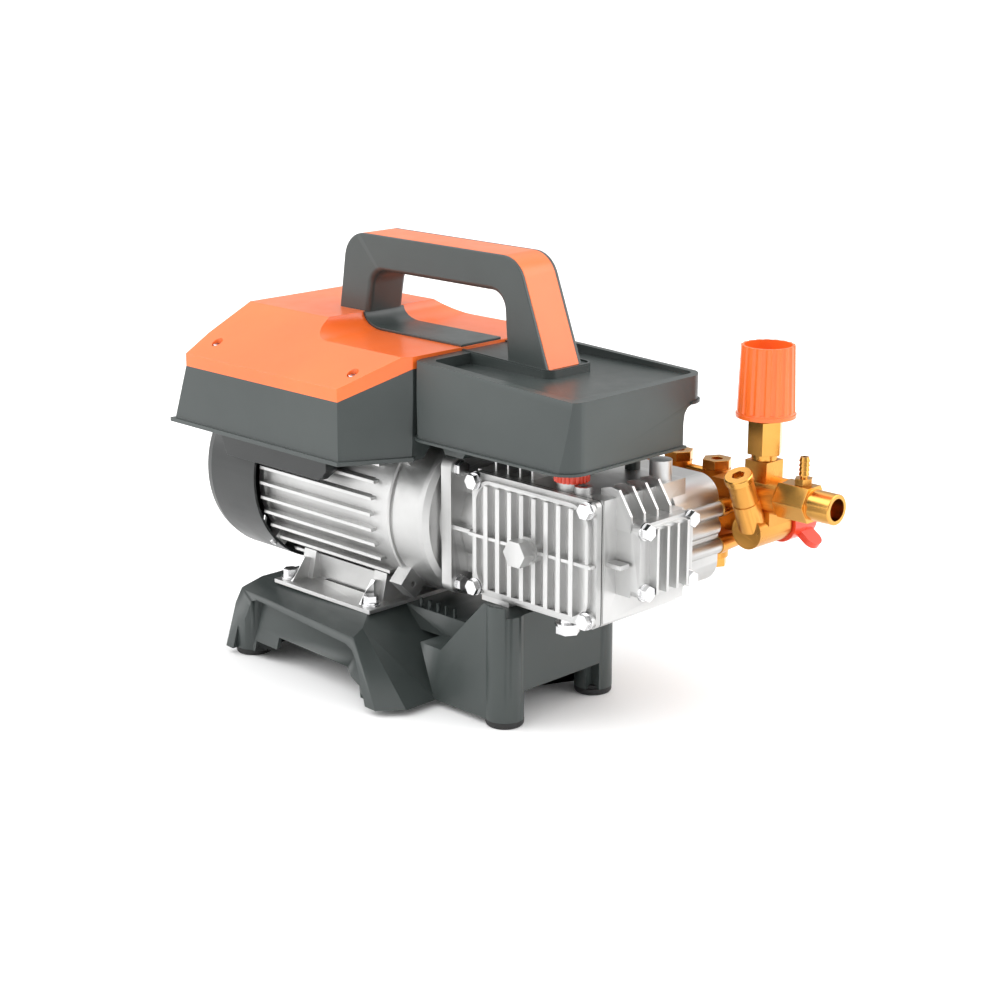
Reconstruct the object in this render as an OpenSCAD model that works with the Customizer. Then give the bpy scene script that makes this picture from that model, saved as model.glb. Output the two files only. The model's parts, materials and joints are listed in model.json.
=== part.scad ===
// Portable electric high-pressure water pump: an induction motor drives a three-plunger
// crank pump with a brass head and an unloader.  +X runs from the fan cowl to the water
// outlet, +Z is up, and the rubber feet stand on Z = 0.

/* [Layout] */
// Height of the motor and crank axis above the floor
axis_z = 137; // [135:0.5:139]
// Height of the base deck that the motor feet stand on
deck_z = 61; // [60:0.5:62]
// Distance from the motor's front ring to the tip of the water outlet
outlet_tip_x = 284; // [280:1:290]
// Distance from the motor's front ring back to the rear of the fan cowl
cowl_rear_x = 205; // [203:1:207]

/* [Motor] */
// Radius of the motor housing under its fins
housing_r = 64.5; // [64:0.5:65]
// Radius at the tips of the cooling fins
fin_tip_r = 70.8; // [70:0.2:71]
// Distance between neighbouring fins
fin_pitch = 12; // [11:0.5:13]
// Thickness of one cooling fin
fin_t = 2.4; // [2:0.2:3]
// Radius of the front end bell's ring
bell_ring_r = 68; // [67:0.5:69]
// Outer radius of the fan cowl
cowl_r = 74.6; // [74:0.2:75]
// Radius of the motor shaft
shaft_r = 8.5; // [8:0.5:9]

/* [Electrical case] */
// Half width of the case's bottom rim
rim_half_y = 118; // [117:0.5:119]
// Height of the flat ridge of the case cover
ridge_z = 273; // [271:0.5:274]
// Thickness of the moulded plastic walls
wall = 3; // [2.5:0.25:3.5]

/* [Handle] */
// Width of the handle across the grip
handle_w = 36; // [35:0.5:37]
// Height of the top of the handle above the floor
handle_top_z = 331.5; // [329:0.5:333]

/* [Crank pump] */
// Distance between neighbouring plungers
plunger_pitch = 36; // [35.5:0.5:36.5]
// Half of the plunger stroke
crank_throw = 5; // [4:0.5:5]
// Radius of a ceramic plunger
plunger_r = 8; // [7.5:0.5:8]
// Number of ribs on the crankcase cover
cover_ribs = 8; // [7:1:8]

/* [Brass fittings] */
// Outer radius of the outlet's threaded nipple
outlet_r = 11; // [10.9:0.1:11.1]
// Radius of the pressure knob at its flared foot
knob_r = 21.3; // [21:0.1:21.6]
// Number of grip flutes round the pressure knob
knob_flutes = 18; // [14:1:20]

/* [Hidden] */
$fn = 64;

// The working frame has its X zero at the motor's front ring and its Y zero on the crank
// axis.  place() moves everything so that the origin is under the middle of the box.
inlet_end_y = 142;
mid_x = (outlet_tip_x - cowl_rear_x) / 2;
mid_y = (inlet_end_y - rim_half_y) / 2;

// Fits
slip = 0.05;        // radial clearance of a running fit
gap = 0.3;          // gap between separate bodies

// Motor
housing_rear_x = -138;
bore_r = 56;
fin_front_x = -14;
bell_face_x = 45;
stator_x = [-112, -32];
rotor_r = 32.4;
stator_in_r = 33;
fan_x = -183;
cowl_front_x = -140;
cowl_screw_x = housing_rear_x - 6.5;

// Base
base_x = [-155.5, 45.8];
base_foot_z = 5;
foot_r = 14;
stand_top_z = 91.7;
seat_z = 83.8;
foot_spots = [[-143, 77], [-143, -77], [105, 47], [105, -47]];
bracket_x = [-105, -24];
bracket_half_y = 74;
foot_bolt_x = [-111, -18];
foot_bolt_y = 64;

// Electrical case
crease_y = 111;
crease_z = ridge_z - 33.4;
ridge_y = 53;
seam_z = crease_z - 9.6;
seam_top_z = 252.2;
rim_z = 187;
case_end_x = 35;
case_corner_y = 68;
recess_z = ridge_z - 12;

// Pump cover
cover_x = [35, 190];
cover_low_z = 203;
cover_high_z = 258.6;
cover_floor_z = 250.3;
cover_fall = 2.2;       // degrees that the roof falls towards the outlet
cover_post_x = [84, 150];
cover_post_y = 36;

// Crankcase and crank train
pump_mid_x = 132;
crank_x = [pump_mid_x - plunger_pitch, pump_mid_x, pump_mid_x + plunger_pitch];
crank_angle = [90, 210, 330];
pin_r = 15.5;
journal_r = 10;
rod_len = 48;
guide_r = 14.5;
cup_r = 12.3;
case_front_y = -41.4;
head_joint_y = 77;
face_half_x = 59.5;
face_half_z = 45;
head_bolt_dx = 63;
head_bolt_z = [153.5, 126.2];
bolt_af = 10;

// Brass head
head_end_y = 126;
valve_y = 108.5;
valve_r = 6.5;
plug_top_z = 179.6;
fit_x = 220.3;
fit_y = 95.7;
outlet_z = 166.5;
inlet_z = 141;
knob_z = [222, 273];
knob_top_r = 18.9;

module place() translate([-mid_x, -mid_y, 0]) children();
module along_x(x) translate([x, 0, axis_z]) rotate([0, 90, 0]) children();
module along_y(x, y, z) translate([x, y, z]) rotate([-90, 0, 0]) children();
module tube(r_out, r_in, h) difference() {
    cylinder(r = r_out, h = h);
    translate([0, 0, -1]) cylinder(r = r_in, h = h + 2);
}
module hex(af, h) cylinder(r = af / sqrt(3), h = h, $fn = 6);
module box(lo, hi) translate(lo) cube(hi - lo);
module bolt(af, head_h, r, len) {
    hex(af, head_h);
    cylinder(r = af * 0.62, h = head_h * 0.25);
    translate([0, 0, -len]) cylinder(r = r, h = len + 1);
}
module screw(head_r, head_h, r, len) difference() {
    union() {
        cylinder(r = head_r, h = head_h);
        translate([0, 0, -len]) cylinder(r = r, h = len + 1);
    }
    for (a = [0, 90]) rotate(a)
        translate([-head_r * 0.65, -0.5, head_h - 1]) cube([head_r * 1.3, 1, 2]);
}
// prisms whose outline is given in (x, z), (y, z) or (x, y)
module prism_xz(y0, y1, pts) translate([0, y1, 0]) rotate([90, 0, 0])
    linear_extrude(y1 - y0) polygon(pts);
module prism_yz(x0, x1, pts) translate([x0, 0, 0]) rotate([90, 0, 90])
    linear_extrude(x1 - x0) polygon(pts);
module round_rect(w, h, r) offset(r = r) square([w - 2 * r, h - 2 * r], center = true);

// ---------------------------------------------------------------- base and feet
// the side falls in a leaning face below a wide chamfer; g moves the side and gt the chamfer
module hump_side(g, gt) intersection() {
    rotate([0, 0, -3.2]) prism_yz(-400, 400, [[-103.9 + g, base_foot_z - 1], [-88.3 + g, 69],
        [300, 69], [300, base_foot_z - 1]]);
    rotate([0, 0, -1.4]) prism_yz(-400, 400, [[-163.9 + 1.86 * gt, base_foot_z - 1],
        [-74.4 + 0.29 * gt, deck_z - gt], [300, deck_z - gt], [300, base_foot_z - 1]]);
}
module hump_sides(g, gt) intersection() {
    hump_side(g, gt);
    mirror([0, 1, 0]) hump_side(g, gt);
}
function end_x(z, g) = base_x[1] - (z - base_foot_z) * 1.017 - 1.43 * g;
// g is the wall thickness taken off the deck and the ends, gs the one taken off the sides
module hump(g, gs) {
    low = base_foot_z - (g > 0 ? 0.9 : 0);
    intersection() {
        hump_sides(gs, g);
        prism_xz(-150, 150, [[base_x[0] + g, low], [-152 + g, 40], [-147 + g, 53],
            [-138 + g, deck_z - g], [end_x(deck_z - g, g), deck_z - g], [end_x(low, g), low]]);
        hump_corners(g);
    }
}
// the two front corners are cut by a face that leans back towards the deck
module hump_corners(g) difference() {
    box([-200, -150, -10], [100, 150, 100]);
    for (s = [0, 1]) mirror([0, s, 0])
        translate([31.3 - g, -105.5 + g, base_foot_z]) rotate([0, 0, 49.7]) rotate([-39.5, 0, 0])
            translate([-150, -100, -60]) cube([300, 100, 240]);
}
side_window = [[-147, -1], [-143.5, 36], [-137, 43.5], [-126, 47.6], [-13, 42.5], [-5, 39.5],
    [1.5, 33], [23, -1]];
panel_cut = [[-129, -1], [-129, 13], [-102.5, 13], [-102, 22.5], [-17, 22.5], [-11, 16.5],
    [0, 12.5], [6, -1]];
module foot_column(f, h) translate([f[0], f[1], base_foot_z]) cylinder(r = foot_r + 0.2, h = h);
module rear_columns() for (i = [0, 1]) translate([0, 0, -7]) foot_column(foot_spots[i], 80);
module pump_stand() difference() {
    union() {
        difference() {
            intersection() {
                prism_xz(-70, 70, [[base_x[1] - 1.5, base_foot_z], [30.3, 46], [52, 45.5],
                    [96, stand_top_z], [130, stand_top_z], [130, base_foot_z]]);
                translate([17.5, 0, 0]) linear_extrude(120) round_rect(200, 119, 13);
            }
            prism_xz(-56.5, 56.5, [[50, -1], [34.5, 42.3], [53, 42.2], [89.8, seat_z - wall],
                [114.5, seat_z - wall], [114.5, -1]]);
        }
        for (i = [2, 3]) foot_column(foot_spots[i], stand_top_z - base_foot_z - 0.4);
    }
    box([60, -56.5, seat_z], [130, 56.5, 100]);
    box([110, -40, -1], [130, 40, 26]);
}
module base_frame() place() color("#3f4744") difference() {
    union() {
        difference() {
            hump(0, 0);
            difference() {
                hump(4, 12.5);
                rear_columns();
            }
            difference() {                              // recessed side panels
                prism_xz(-130, 130, side_window);
                hump_sides(9, 0);
                rear_columns();
            }
            prism_xz(-130, 130, panel_cut);
        }
        pump_stand();
        box([-13, -36, 44], [60, 36, deck_z]);          // bridge between the two humps
        for (s = [-1, 1], i = [0 : 4])                  // comb ribs under the end bell
            box([4 + i * 9, s * 34 - 1, deck_z - 1], [5.5 + i * 9, s * 34 + 1, deck_z + 7]);
    }
    for (f = foot_spots) translate([f[0], f[1], -1]) {
        cylinder(r = 2.1, h = 30);
        cylinder(r = foot_r - 1.9, h = base_foot_z + 3.6);
    }
    for (x = foot_bolt_x, s = [-1, 1]) translate([x, s * foot_bolt_y, 40]) cylinder(r = 3.1, h = 40);
    box([-8, -30, 42], [56, 30, deck_z - 4]);
}
module rubber_feet() place() color("#111111")
    for (f = foot_spots) translate([f[0], f[1], 0]) difference() {
        union() {
            cylinder(r1 = foot_r - 1, r2 = foot_r, h = 1.5);
            translate([0, 0, 1.5]) cylinder(r = foot_r, h = base_foot_z - 1.5);
            translate([0, 0, base_foot_z - 0.5]) cylinder(r = foot_r - 2, h = 3);
        }
        translate([0, 0, -1]) cylinder(r = 5, h = 3.5);
        translate([0, 0, -1]) cylinder(r = 2.1, h = 20);
    }

// ---------------------------------------------------------------- motor
module motor_housing() place() color("#c9cac8") difference() {
    union() {
        along_x(housing_rear_x) cylinder(r = housing_r, h = -housing_rear_x, $fn = 96);
        along_x(fin_front_x) cylinder(r = housing_r + 1.6, h = -fin_front_x, $fn = 96);
        for (k = [-5 : 5]) for (s = [-1, 1]) {
            off = k * fin_pitch;
            inner = sqrt(pow(housing_r - 1, 2) - off * off);
            outer = sqrt(pow(fin_tip_r, 2) - off * off);
            box([housing_rear_x, s > 0 ? inner : -outer, axis_z + off - fin_t / 2],
                [fin_front_x + 4, s > 0 ? outer : -inner, axis_z + off + fin_t / 2]);
        }
    }
    along_x(housing_rear_x - 1) cylinder(r = bore_r, h = -housing_rear_x + 2, $fn = 96);
}
module foot_bracket() place() color("#c9cac8") difference() {
    union() {
        difference() {
            box([-119, -bracket_half_y, deck_z], [-9, bracket_half_y, deck_z + 3]);
            box([-90, -48, deck_z - 1], [-38, 48, deck_z + 4]);
        }
        for (x = bracket_x) prism_yz(x - 7, x + 7, [[-54, deck_z + 2], [-46, deck_z + 34],
            [46, deck_z + 34], [54, deck_z + 2]]);
        for (x = bracket_x, s = [-1, 1]) prism_yz(x - 2, x + 2, [[s * 50, deck_z + 2],
            [s * 46, deck_z + 17], [s * 56, deck_z + 20], [s * 70, deck_z + 2]]);
        for (s = [-1, 1]) box([bracket_x[0], s * 44 - 1.5, deck_z + 2],
            [bracket_x[1], s * 44 + 1.5, deck_z + 24]);
    }
    along_x(-150) cylinder(r = fin_tip_r, h = 160, $fn = 96);
    for (x = bracket_x) box([x - 8, -24, deck_z + 3], [x + 8, 24, deck_z + 40]);
    for (x = foot_bolt_x, s = [-1, 1]) translate([x, s * foot_bolt_y, 40]) {
        cylinder(r = 3.3, h = 40);
        translate([0, 0, deck_z - 37]) cylinder(r = 7.6, h = 14);
    }
}
module foot_bolts() place() color("#d8d8d6")
    for (x = foot_bolt_x, s = [-1, 1]) translate([x, s * foot_bolt_y, deck_z + 3]) {
        cylinder(r = 7.2, h = 1.5);
        translate([0, 0, 1.5]) bolt(bolt_af, 6.5, 3, 16);
    }
module slots_2d(n, r, w) for (i = [0 : n - 1]) rotate(i * 360 / n) translate([r, 0])
    square([18, w], center = true);
module stator_core() place() color("#8a8d8f")
    along_x(stator_x[0]) linear_extrude(stator_x[1] - stator_x[0]) difference() {
        circle(r = bore_r, $fn = 96);
        circle(r = stator_in_r, $fn = 96);
        slots_2d(24, 43, 4);
    }
module stator_windings() place() color("#b5652b") difference() {
    union() {
        along_x(stator_x[0] + 1) linear_extrude(stator_x[1] - stator_x[0] - 2)
            intersection() {
                slots_2d(24, 43, 3.4);
                difference() { circle(r = 51.4, $fn = 96); circle(r = 34.8, $fn = 96); }
            }
        for (x = [stator_x[0] - 17, stator_x[1] + 0.3])
            along_x(x) tube(52, 36, 16.7, $fn = 96);
        for (x = [stator_x[0] - 2, stator_x[1] - 2])
            along_x(x) linear_extrude(4) intersection() {
                slots_2d(24, 43, 3.4);
                circle(r = 51.4, $fn = 96);
            }
    }
    along_x(-200) cylinder(r = 34.8, h = 300, $fn = 96);
}
module rotor_core() place() color("#9b9ea0") difference() {
    union() {
        along_x(stator_x[0]) cylinder(r = rotor_r, h = stator_x[1] - stator_x[0], $fn = 96);
        for (x = [stator_x[0] - 5, stator_x[1]]) along_x(x) cylinder(r = rotor_r - 2, h = 5);
        for (i = [0 : 7], x = [stator_x[0] - 11, stator_x[1] + 4]) translate([0, 0, axis_z])
            rotate([i * 45, 0, 0]) box([x, 20, -1], [x + 7, 29, 1]);
    }
    along_x(-200) cylinder(r = shaft_r, h = 260);
}
module motor_shaft() place() color("#b8bbbd") union() {
    along_x(fan_x - 4) cylinder(r = shaft_r, h = 64 - fan_x);
    along_x(fan_x - 7) cylinder(r1 = shaft_r - 2, r2 = shaft_r, h = 3);
}
module cooling_fan() place() color("#2a2d2c") translate([0, 0, axis_z]) difference() {
    union() {
        rotate([0, 90, 0]) translate([0, 0, fan_x]) cylinder(r = 16, h = 20);
        rotate([0, 90, 0]) translate([0, 0, fan_x + 17]) cylinder(r = 58, h = 3);
        for (i = [0 : 6]) rotate([i * 360 / 7, 0, 0])
            box([fan_x + 1, -1.5, 14], [fan_x + 18, 1.5, 57]);
    }
    rotate([0, 90, 0]) translate([0, 0, -200]) cylinder(r = shaft_r, h = 260);
}
module front_end_bell() place() color("#bfc0be") difference() {
    union() {
        along_x(0) rotate_extrude($fn = 128) polygon([[0, 0], [bell_ring_r, 0],
            [bell_ring_r, 5.5], [bell_ring_r - 1.2, 6.5], [bell_ring_r - 3.5, 6.5],
            [bell_ring_r - 3.5, 8], [bell_ring_r - 2.4, 8.6], [bell_ring_r - 2.6, 33],
            [bell_ring_r - 4, 38], [bell_ring_r - 8, 41.5], [50, 42.5], [50, bell_face_x],
            [0, bell_face_x]]);
        for (a = [-45, 45]) translate([0, 0, axis_z]) rotate([a, 0, 0])
            box([2, -10, -80], [15, 10, -60]);
        for (a = [135, 225]) translate([0, 0, axis_z]) rotate([a, 0, 0])
            box([2, -10, -75.2], [15, 10, -60]);
    }
    along_x(-1) cylinder(r = bore_r, h = 31, $fn = 96);
    along_x(29) cylinder(r = 18.5, h = 12);
    along_x(0) cylinder(r = 12, h = 60);
    for (a = [-45, 45]) translate([0, 0, axis_z]) rotate([a, 0, 0])
        translate([9, 0, -73]) rotate([0, 90, 0]) cylinder(r = 2.2, h = 20);
}
module rear_end_bell() place() color("#bfc0be") difference() {
    union() {
        along_x(housing_rear_x - 6) cylinder(r = 66, h = 6, $fn = 96);
        along_x(housing_rear_x - 6) cylinder(r = 24, h = 18);
        along_x(housing_rear_x - 1) tube(bore_r - 0.1, 50, 6, $fn = 96);
        for (a = [45 : 90 : 315]) translate([0, 0, axis_z]) rotate([a, 0, 0])
            box([housing_rear_x - 11, -6, 60], [housing_rear_x, 6, 72.4]);
    }
    along_x(housing_rear_x + 1) cylinder(r = 18.5, h = 12);
    along_x(-190) cylinder(r = 12, h = 80);
    for (a = [0 : 45 : 315]) translate([0, 0, axis_z]) rotate([a + 22.5, 0, 0])
        translate([-150, 0, 38]) rotate([0, 90, 0]) cylinder(r = 6, h = 30);
    for (a = [45 : 90 : 315]) translate([cowl_screw_x, 0, axis_z]) rotate([a, 0, 0])
        translate([0, 0, 60]) cylinder(r = 1.5, h = 20);
}
module shaft_bearings() place() color("#a9acae") {
    for (b = [[29, shaft_r], [housing_rear_x + 1, shaft_r], [56.5, 15]]) along_x(b[0])
        bearing(b[1], b[1] > 10 ? 25 : 18.4, b[1] > 10 ? 10 : 11);
    along_x(194) bearing(journal_r, 20.9, 10);
}
module bearing(r_in, r_out, w) difference() {
    tube(r_out, r_in + slip, w);
    for (z = [-1, w - 1]) translate([0, 0, z]) tube(r_out - 3, r_in + 3, 2);
}
module fan_cowl() place() color("#1c1f1e") difference() {
    along_x(-cowl_rear_x) rotate_extrude($fn = 128) polygon([[0, 0], [62, 0], [69, 1.6],
        [73, 5.6], [cowl_r, 12], [cowl_r, cowl_rear_x + cowl_front_x],
        [72.6, cowl_rear_x + cowl_front_x], [72.6, 12], [71, 6.8], [68, 3.8], [62, 2.4], [0, 2.4]]);
    translate([-cowl_rear_x, 0, axis_z]) for (i = [0 : 23]) rotate([i * 15, 0, 0]) {
        box([-1, -1.6, 40], [5, 1.6, 62]);
        box([-1, -1.4, 14 + (i % 2) * 8], [5, 1.4, 37]);
    }
    for (a = [45 : 90 : 315]) translate([cowl_screw_x, 0, axis_z]) rotate([a, 0, 0])
        translate([0, 0, 60]) cylinder(r = 1.7, h = 20);
}
module panel_screws() place() color("#c9cbca") {
    for (a = [45 : 90 : 315]) translate([cowl_screw_x, 0, axis_z]) rotate([a, 0, 0])
        translate([0, 0, cowl_r]) screw(3, 1.6, 1.4, 9);
    for (f = foot_spots) translate([f[0], f[1], 2.5]) rotate([180, 0, 0]) screw(4.2, 2, 2, 16);
    for (s = cover_screw_spots) translate([s[0], s[1], roof_z(s[1]) - 3]) screw(3.4, 1.6, 1.8, 8);
}

// ---------------------------------------------------------------- electrical case
function roof_z(y) = ridge_z - max(0, abs(y) - ridge_y) * (ridge_z - crease_z) / (crease_y - ridge_y);
cover_screw_spots = [for (s = [-1, 1], x = [-152, 2]) [x, s * 95]];
module case_outline(g, rear_x, side_y, corner_x, end_y) polygon([[rear_x + g, -side_y + g],
    [corner_x - g * 0.5, -side_y + g], [case_end_x - g, -end_y + g * 0.4],
    [case_end_x - g, end_y - g * 0.4], [corner_x - g * 0.5, side_y - g], [rear_x + g, side_y - g]]);
module upper_outline(g) case_outline(g, -171, crease_y, 3, case_corner_y);
module case_block(g) {
    hull() {
        translate([0, 0, rim_z]) linear_extrude(0.1) case_outline(g, -181, 116.2, 8.5, 70);
        translate([0, 0, seam_z]) linear_extrude(0.1) upper_outline(g);
    }
    translate([0, 0, seam_z]) linear_extrude(60) upper_outline(g);
}
// the joint between case and cover climbs with the roof
module below_seam() prism_yz(-210, 100, [[-130, 150], [-130, seam_z], [-crease_y, seam_z],
    [-case_corner_y, seam_top_z], [case_corner_y, seam_top_z], [crease_y, seam_z],
    [130, seam_z], [130, 150]]);
module motor_arch(r, x0 = -210, x1 = 60) along_x(x0) cylinder(r = r, h = x1 - x0, $fn = 96);
module electrical_case() place() color("#58605d") difference() {
    union() {
        intersection() {
            case_block(0);
            below_seam();
        }
        // rim lip round the bottom edge
        translate([0, 0, rim_z - 1]) linear_extrude(3) polygon([[-184.5, -rim_half_y],
            [9.5, -rim_half_y], [case_end_x + 2, -70], [case_end_x, -66], [case_end_x, 66],
            [case_end_x + 2, 70], [9.5, rim_half_y], [-184.5, rim_half_y]]);
    }
    difference() {
        intersection() {
            case_block(wall);
            box([-200, -200, rim_z + 2], [200, 200, 400]);
        }
        motor_arch(79.6);
        for (x = [-110, -66]) box([x - 3, 38, 180], [x + 3, 72, 226]);
        for (s = cover_screw_spots) translate([s[0], s[1], 180]) cylinder(r = 5, h = 57.5);
    }
    motor_arch(76.6);
    translate([-95, 0, 150]) cylinder(r = 10, h = 80);
    along_y(capacitor_spot[0], capacitor_spot[1], capacitor_spot[2]) rotate([0, 90, 0])
        translate([0, 0, -60]) cylinder(r = 18.2, h = 120);
    box([switch_x - 17.1, 100, switch_z - 12.1], [switch_x + 17.1, 130, switch_z + 12.1]);
    along_y(gland_x, 90, gland_z) cylinder(r = 7.6, h = 40);
    for (s = cover_screw_spots) translate([s[0], s[1], 215]) cylinder(r = 1.8, h = 30);
}
capacitor_spot = [-88, 55, 232];
switch_x = -60;
switch_z = 210;
gland_x = -140;
gland_z = 205;
module recess_tool(g) prism_xz(-90, 90, concat([[-71 - g, ridge_z + 20]],
    [for (a = [180 : 15 : 270]) [-51 + (20 + g) * cos(a), ridge_z + (12 + g) * sin(a)]],
    [[60, recess_z - g], [60, ridge_z + 20]]));
module roof_block(g) intersection() {
    linear_extrude(400) upper_outline(g);
    prism_yz(-200, 100, [[-crease_y + g, seam_z - 5], [-crease_y + g, crease_z - g * 0.6],
        [-ridge_y, ridge_z - g], [ridge_y, ridge_z - g], [crease_y - g, crease_z - g * 0.6],
        [crease_y - g, seam_z - 5]]);
    prism_xz(-200, 200, [[-171 + g, seam_z - 5], [-171 + g, seam_top_z], [-164 + g, ridge_z],
        [100, ridge_z], [100, seam_z - 5]]);
}
module case_cover() place() color("#f07a3c") difference() {
    union() {
        difference() {
            roof_block(0);
            difference() {
                roof_block(wall);
                recess_tool(wall);
            }
        }
        intersection() {
            roof_block(0);
            for (s = cover_screw_spots) translate([s[0], s[1], seam_z]) cylinder(r = 5.5, h = 50);
        }
    }
    below_seam();
    recess_tool(0);
    for (s = cover_screw_spots) translate([s[0], s[1], 0]) {
        cylinder(r = 2, h = 300);
        translate([0, 0, roof_z(s[1]) - 3]) cylinder(r = 4.2, h = 20);
    }
}
module case_saddles() place() color("#3a413f") difference() {
    prism_xz(-78, 78, [[-175, 170], [-168, 155], [-58, 155], [-50, 163], [-50, rim_z - 1.1],
        [-175, rim_z - 1.1]]);
    motor_arch(fin_tip_r + 0.8);
    motor_arch(cowl_r + 0.6, -210, cowl_front_x + 3);
}
module capacitor() place() color("#d9d9d4") along_y(capacitor_spot[0], capacitor_spot[1],
    capacitor_spot[2]) rotate([0, 90, 0]) {
    translate([0, 0, -36]) cylinder(r = 18, h = 72);
    for (y = [-6, 6]) translate([-1, y - 3, 35]) cube([1, 6, 10]);
}
module switch_body() place() color("#202322") difference() {
    box([switch_x - 17, 94, switch_z - 12], [switch_x + 17, 116.8, switch_z + 12]);
    box([switch_x - 11, 100, switch_z - 9], [switch_x + 11, 120, switch_z + 9]);
    translate([switch_x - 14, 110, switch_z]) rotate([0, 90, 0]) cylinder(r = 1.5 + slip, h = 28);
}
module switch_rocker() place() color("#b3251c") translate([switch_x, 110, switch_z])
    rotate([7, 0, 0]) {
        difference() {
            translate([-10.6, 0, 0]) rotate([0, 90, 0]) cylinder(r = 8.6, h = 21.2);
            for (s = [0, 1]) mirror([0, 0, s]) rotate([-12, 0, 0])
                box([-12, 6.4, -0.5], [12, 12, 14]);
        }
        translate([-13.6, 0, 0]) rotate([0, 90, 0]) cylinder(r = 1.5, h = 27.2);
    }
module cable_gland() place() color("#202322") along_y(gland_x, 108, gland_z) difference() {
    union() {
        translate([0, 0, -6]) cylinder(r = 7.5, h = 18);
        translate([0, 0, -2]) hex(18, 2);
        translate([0, 0, 7.5]) hex(18, 6);
        translate([0, 0, 13]) cylinder(r1 = 8, r2 = 6, h = 10);
    }
    translate([0, 0, -20]) cylinder(r = 4.2, h = 60);
}

// ---------------------------------------------------------------- pump cover and handle
function cover_profile(g) = let(low = cover_low_z - (g > 0 ? 5 : 0)) [[-73 + g, low],
    [-66.5 + g, cover_high_z], [-66.5 + g, 400], [66.5 - g, 400], [66.5 - g, 233 + g],
    [52 - g, 233 + g], [46.8 - g, 231.2 + 0.8 * g], [43.8 - g, 227.5 + 0.4 * g],
    [42.6 - g, 221], [42.6 - g, low]];
module cover_outline(g) translate([(cover_x[0] + cover_x[1]) / 2, -3])
    round_rect(cover_x[1] - cover_x[0] - 2 * g, 141.4 - 2 * g, 16 - g);
module cover_block(g) intersection() {
    linear_extrude(400) cover_outline(g);
    prism_yz(0, 300, cover_profile(g));
    prism_xz(-100, 100, [[30, cover_low_z - (g > 0 ? 5 : 0)], [30, cover_high_z - g + 0.19],
        [cover_x[1] + 5, cover_high_z - g - (cover_x[1] + 5 - 35) * tan(cover_fall)],
        [cover_x[1] + 5, cover_low_z - (g > 0 ? 5 : 0)]]);
}
// the roof is a shallow tray round a raised island that carries the handle
module tray_area() offset(r = 6) offset(delta = -6)
    polygon([[44, -57.5], [183, -62], [183, 61.5], [44, 61.5]]);
module island_area(g) offset(delta = -g) offset(r = 8) offset(delta = -8)
    polygon([[20, -20], [122, -20], [122, 26], [20, 26]]);
// proud strips along the lower edges
module cover_lips() linear_extrude(1.8) difference() {
    cover_outline(-1.6);
    cover_outline(1.5);
}
module pump_cover() place() color("#4d5552") difference() {
    union() {
        difference() {
            cover_block(0);
            intersection() {
                cover_block(wall);
                union() {
                    box([0, -100, 100], [300, 100, cover_floor_z - 2.5]);
                    translate([0, 0, 100]) linear_extrude(300) island_area(wall);
                }
            }
            translate([0, 0, cover_floor_z]) linear_extrude(40) difference() {
                tray_area();
                island_area(0);
            }
        }
        intersection() {                                // lip of the lower edge
            translate([0, 0, cover_low_z]) cover_lips();
            box([cover_x[0] + gap, -100, 200], [300, 43, 210]);
        }
        intersection() {                                // its straight run over the head side
            box([cover_x[0] + gap, 41.5, cover_low_z], [200, 44.6, cover_low_z + 1.8]);
            linear_extrude(400) cover_outline(-1.6);
        }
        intersection() {                                // lip of the step over the head
            translate([0, 0, 233]) cover_lips();
            box([cover_x[0] + gap, 50, 230], [300, 100, 240]);
        }
        intersection() {                                // collar round the island
            translate([cover_x[0], 0, cover_high_z]) rotate([0, cover_fall, 0])
                translate([-cover_x[0], 0, -1]) linear_extrude(2.2) difference() {
                    island_area(0.3);
                    island_area(1.7);
                }
            box([cover_x[0], -30, 240], [130, 30, 270]);
        }
        for (x = cover_post_x) translate([x, cover_post_y, 182]) cylinder(r = 5.5, h = 67);
        intersection() {                                // block that drops onto the flange
            box([37, -46, 188], [68, -30, 249]);
            prism_xz(-60, 0, [[36, 206], [44, 188], [62, 188], [68, 198], [68, 249], [36, 249]]);
        }
    }
    for (x = cover_post_x) translate([x, cover_post_y, 180]) cylinder(r = 1.8, h = 30);
}
module handle_outer() offset(r = 22) offset(delta = -22)
    polygon([[-110.7, 200], [-90, handle_top_z], [88, handle_top_z], [137.8, 200]]);
module handle_inner() offset(r = 14) offset(delta = -14)
    polygon([[-80.9, 200], [-61.5, 305], [74.3, 305], [80.3, 200]]);
module handle_shape() difference() {
    handle_outer();
    handle_inner();
}
band_w = 30.6;
module band_shape(g) difference() {
    intersection() {
        handle_outer();
        polygon([[-80 - g, 300], [-76 - g, 345], [160, 345], [160, 200], [60, 200]]);
    }
    offset(delta = -3 - g) handle_outer();
}
module handle_floor_cut() {
    prism_xz(-40, 40, [[-130, 150], [-130, ridge_z], [20, ridge_z], [20, 150]]);
    prism_xz(-40, 40, [[10, 150], [10, cover_high_z + 25 * tan(cover_fall)],
        [160, cover_high_z - 125 * tan(cover_fall)], [160, 150]]);
}
module handle_grip() place() color("#4d5552") difference() {
    translate([0, handle_w / 2, 0]) rotate([90, 0, 0]) linear_extrude(handle_w) handle_shape();
    translate([0, band_w / 2 + 0.1, 0]) rotate([90, 0, 0])
        linear_extrude(band_w + 0.2) band_shape(0.05);
    handle_floor_cut();
}
module handle_band() place() color("#f07a3c") difference() {
    translate([0, band_w / 2, 0]) rotate([90, 0, 0]) linear_extrude(band_w) band_shape(-0.05);
    handle_floor_cut();
}
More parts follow.
